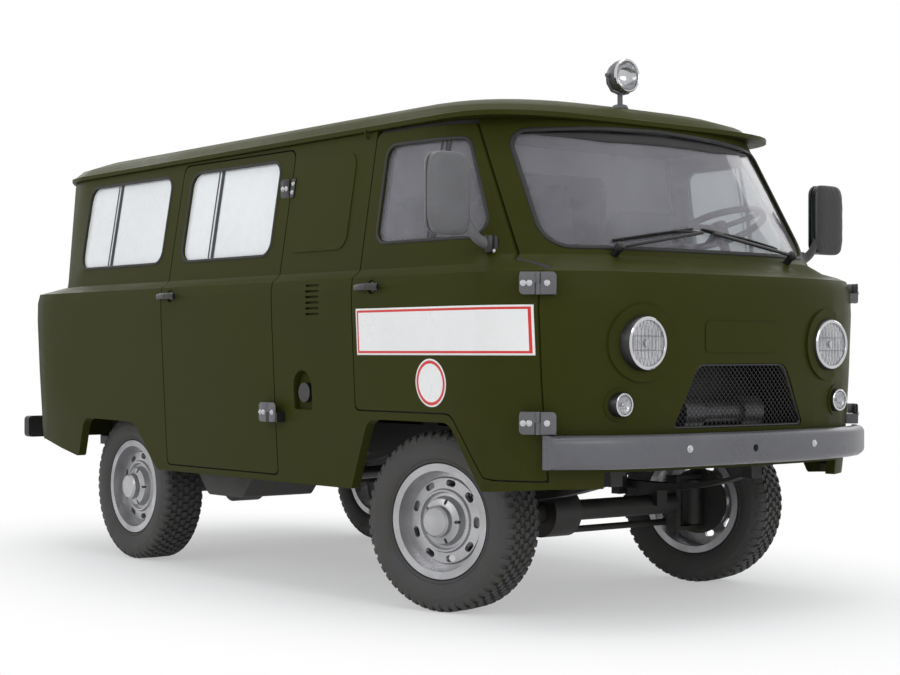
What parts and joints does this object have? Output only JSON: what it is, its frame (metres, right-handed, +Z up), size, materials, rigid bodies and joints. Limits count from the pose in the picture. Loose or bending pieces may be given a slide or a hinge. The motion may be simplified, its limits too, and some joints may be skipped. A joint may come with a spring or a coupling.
{
  "type": "military ambulance truck",
  "caption": "Olive forward-control ambulance van with swinging doors, steered front wheels, live axles and a roof spot lamp.",
  "frame": {"origin": "on the ground under the middle of the overall length and width", "axes": "+X forward along the vehicle, +Y to its left, +Z up"},
  "size_m": [4.315, 2.287, 2.175],
  "materials": {
    "olive_paint": "satin",
    "black_frame": "satin",
    "floor_paint": "matte",
    "clear_glass": "gloss",
    "frosted_glass": "matte",
    "mesh_steel": "satin",
    "grey_steel": "satin",
    "cast_block": "matte",
    "black_core": "matte",
    "lamp_glass": "gloss",
    "lamp_shell": "satin",
    "black_fitting": "satin",
    "cab_plastic": "matte",
    "seat_cover": "matte",
    "tyre_rubber": "matte",
    "silver_wheel": "satin"
  },
  "bodies": {
    "body": {"chassis_frame": "black_frame", "cross_members": "black_frame", "floor_pan": "floor_paint", "front_panel": "olive_paint", "roof": "olive_paint", "side_panel_right": "olive_paint", "side_panel_left": "olive_paint", "rear_panel": "olive_paint", "windscreen": "clear_glass", "side_glass": "frosted_glass", "grille_mesh": "mesh_steel", "winch": "grey_steel", "radiator": "black_core", "front_bumper": "grey_steel", "rear_bumpers": "black_frame", "headlamps": "lamp_glass", "signal_lamps": "lamp_glass", "spot_lamp": "lamp_shell", "body_fittings": "black_fitting", "partition": "olive_paint", "dashboard": "cab_plastic", "seat_bases": "floor_paint", "cab_seats": "seat_cover", "engine_cover": "cab_plastic", "engine": "cast_block", "driveline": "cast_block", "front_axle": "black_frame", "rear_axle": "black_frame", "suspension": "black_frame", "fuel_tanks": "black_frame", "exhaust": "grey_steel"},
    "front_door_right": {"front_door_right": "olive_paint", "front_glass_right": "clear_glass", "front_hardware_right": "black_fitting"},
    "front_door_left": {"front_door_left": "olive_paint", "front_glass_left": "clear_glass", "front_hardware_left": "black_fitting"},
    "side_door": {"side_door": "olive_paint", "side_door_glass": "frosted_glass", "side_hardware": "black_fitting"},
    "rear_door_right": {"rear_door_right": "olive_paint", "rear_glass_right": "frosted_glass"},
    "rear_door_left": {"rear_door_left": "olive_paint", "rear_glass_left": "frosted_glass"},
    "steer_right": {"knuckle_right": "black_frame"},
    "steer_left": {"knuckle_left": "black_frame"},
    "tie_rod": {"tie_rod": "black_frame"},
    "steering_wheel": {"steering_wheel": "cab_plastic"},
    "front_wheel_right": {"wheel_front_right": "silver_wheel", "tyre_front_right": "tyre_rubber"},
    "front_wheel_left": {"wheel_front_left": "silver_wheel", "tyre_front_left": "tyre_rubber"},
    "rear_wheel_right": {"wheel_rear_right": "silver_wheel", "tyre_rear_right": "tyre_rubber"},
    "rear_wheel_left": {"wheel_rear_left": "silver_wheel", "tyre_rear_left": "tyre_rubber"}
  },
  "joints": [
    {"name": "front_door_right_swing", "type": "hinge", "parent": "body", "child": "front_door_right", "pos_m": [1.9205, -0.878, 1], "axis": [0, 0, 1], "range_deg": [0, 75]},
    {"name": "front_door_left_swing", "type": "hinge", "parent": "body", "child": "front_door_left", "pos_m": [1.9205, 0.878, 1], "axis": [0, 0, -1], "range_deg": [0, 75]},
    {"name": "side_door_swing", "type": "hinge", "parent": "body", "child": "side_door", "pos_m": [0.3705, -0.982, 1], "axis": [0, 0, 1], "range_deg": [0, 90]},
    {"name": "rear_door_right_swing", "type": "hinge", "parent": "body", "child": "rear_door_right", "pos_m": [-2.0505, -0.648, 1], "axis": [0, 0, 1], "range_deg": [0, 100]},
    {"name": "rear_door_left_swing", "type": "hinge", "parent": "body", "child": "rear_door_left", "pos_m": [-2.0505, 0.648, 1], "axis": [0, 0, -1], "range_deg": [0, 100]},
    {"name": "steer_left_turn", "type": "hinge", "parent": "body", "child": "steer_left", "pos_m": [1.2325, 0.64, 0.348], "axis": [0, 0, 1], "range_deg": [-42.8, 13.2]},
    {"name": "steer_right_turn", "type": "hinge", "parent": "body", "child": "steer_right", "pos_m": [1.2325, -0.64, 0.348], "axis": [0, 0, 1], "range_deg": [-42.8, 13.2]},
    {"name": "tie_rod_turn", "type": "hinge", "parent": "steer_left", "child": "tie_rod", "pos_m": [1.11648, 0.60935, 0.255], "axis": [0, 0, 1], "range_deg": [-13.2, 42.8]},
    {"name": "steering_wheel_turn", "type": "hinge", "parent": "body", "child": "steering_wheel", "pos_m": [1.5325, 0.48, 1.51], "axis": [-0.3665, 0, 0.9304], "range_deg": [-856, 264]},
    {"name": "front_wheel_right_spin", "type": "hinge", "parent": "steer_right", "child": "front_wheel_right", "pos_m": [1.25357, -0.71976, 0.348], "axis": [-0.2554, 0.9668, 0], "continuous": true},
    {"name": "front_wheel_left_spin", "type": "hinge", "parent": "steer_left", "child": "front_wheel_left", "pos_m": [1.21143, 0.71976, 0.348], "axis": [-0.2554, 0.9668, 0], "continuous": true},
    {"name": "rear_wheel_right_spin", "type": "hinge", "parent": "body", "child": "rear_wheel_right", "pos_m": [-1.0675, -0.7225, 0.348], "axis": [0, 1, 0], "continuous": true},
    {"name": "rear_wheel_left_spin", "type": "hinge", "parent": "body", "child": "rear_wheel_left", "pos_m": [-1.0675, 0.7225, 0.348], "axis": [0, 1, 0], "continuous": true}
  ],
  "couplings": [
    {"joint": "steer_right_turn", "follows": "steer_left_turn", "ratio": 1},
    {"joint": "tie_rod_turn", "follows": "steer_left_turn", "ratio": -1},
    {"joint": "steering_wheel_turn", "follows": "steer_left_turn", "ratio": 20}
  ]
}
